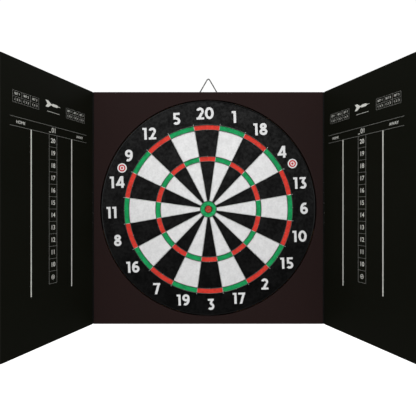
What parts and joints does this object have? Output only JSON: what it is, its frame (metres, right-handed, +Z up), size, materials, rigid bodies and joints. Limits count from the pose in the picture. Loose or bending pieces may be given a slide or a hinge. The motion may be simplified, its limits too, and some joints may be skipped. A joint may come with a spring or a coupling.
{
  "type": "dart board cabinet",
  "caption": "Shallow square wall cabinet with a dart board let into its front, scoreboard doors on full height hinges and a folding wire hanger.",
  "frame": {"origin": "centre of the back board's outer face, which lies against the wall at Y = 0", "axes": "+X to the right seen from the front, +Y into the wall, +Z up; the board faces -Y"},
  "size_m": [0.6352, 0.25, 0.5031],
  "materials": {
    "case_panel": "brown-black laminate, satin",
    "case_wood": "black stained softwood rails",
    "back_panel": "bare hardboard",
    "inner_wood": "bare softwood",
    "paper_coil": "wound paper strip",
    "rim": "black band with a pale front edge",
    "bed_black": "black flocked paper",
    "bed_white": "white flocked paper",
    "bed_red": "red flocked paper",
    "bed_green": "green flocked paper",
    "bull_red": "brownish red flocked plug",
    "wire": "drawn steel wire",
    "screw_steel": "zinc plated",
    "magnet": "nickel plated",
    "hinge_metal": "black coated steel",
    "hinge_pin": "bright steel",
    "hanger_steel": "bright steel wire and strip",
    "door_core": "fibreboard",
    "door_face": "black laminate with scoreboard print",
    "door_band": "black edge band"
  },
  "bodies": {
    "casing": {"back_board": "back_panel", "bottom_rail": "case_wood", "top_rail": "case_wood", "left_rail": "case_wood", "right_rail": "case_wood", "front_surround": "case_panel", "corner_blocks": "inner_wood", "corner_dowels": "inner_wood", "corner_screws": "screw_steel", "back_board_screws": "screw_steel", "case_magnets": "magnet", "paper_core": "paper_coil", "bull_plug": "bull_red", "rim_band": "rim", "black_beds": "bed_black", "white_beds": "bed_white", "red_beds": "bed_red", "green_beds": "bed_green", "bull_ring_bed": "bed_green", "number_field": "bed_black", "double_outer_wire": "wire", "double_inner_wire": "wire", "triple_outer_wire": "wire", "triple_inner_wire": "wire", "bull_outer_wire": "wire", "bull_inner_wire": "wire", "radial_wires": "wire", "wire_staples": "wire", "board_screws": "screw_steel", "hanger_strap": "hanger_steel", "hanger_strap_screws": "screw_steel", "left_hinge_frame_leaf": "hinge_metal", "left_hinge_pin": "hinge_pin", "left_hinge_frame_screws": "screw_steel", "right_hinge_frame_leaf": "hinge_metal", "right_hinge_pin": "hinge_pin", "right_hinge_frame_screws": "screw_steel"},
    "left_door": {"left_door_core": "door_core", "left_door_scoreboard": "door_face", "left_door_outer_sheet": "door_face", "left_door_edge_bands": "door_band", "left_door_magnets": "magnet", "left_hinge_door_leaf": "hinge_metal", "left_hinge_door_screws": "screw_steel"},
    "right_door": {"right_door_core": "door_core", "right_door_scoreboard": "door_face", "right_door_outer_sheet": "door_face", "right_door_edge_bands": "door_band", "right_door_magnets": "magnet", "right_hinge_door_leaf": "hinge_metal", "right_hinge_door_screws": "screw_steel"},
    "hanger": {"hanger_wire": "hanger_steel"}
  },
  "joints": [
    {"name": "left_door_hinge", "type": "hinge", "parent": "casing", "child": "left_door", "pos_m": [-0.232, -0.0325, 0], "axis": [0, 0, -1], "range_deg": [-109.6, 70]},
    {"name": "right_door_hinge", "type": "hinge", "parent": "casing", "child": "right_door", "pos_m": [0.232, -0.0325, 0], "axis": [0, 0, 1], "range_deg": [-109.6, 70]},
    {"name": "hanger_pivot", "type": "hinge", "parent": "casing", "child": "hanger", "pos_m": [0, -0.00262, 0.226], "axis": [-1, 0, 0], "range_deg": [-6, 172]}
  ]
}
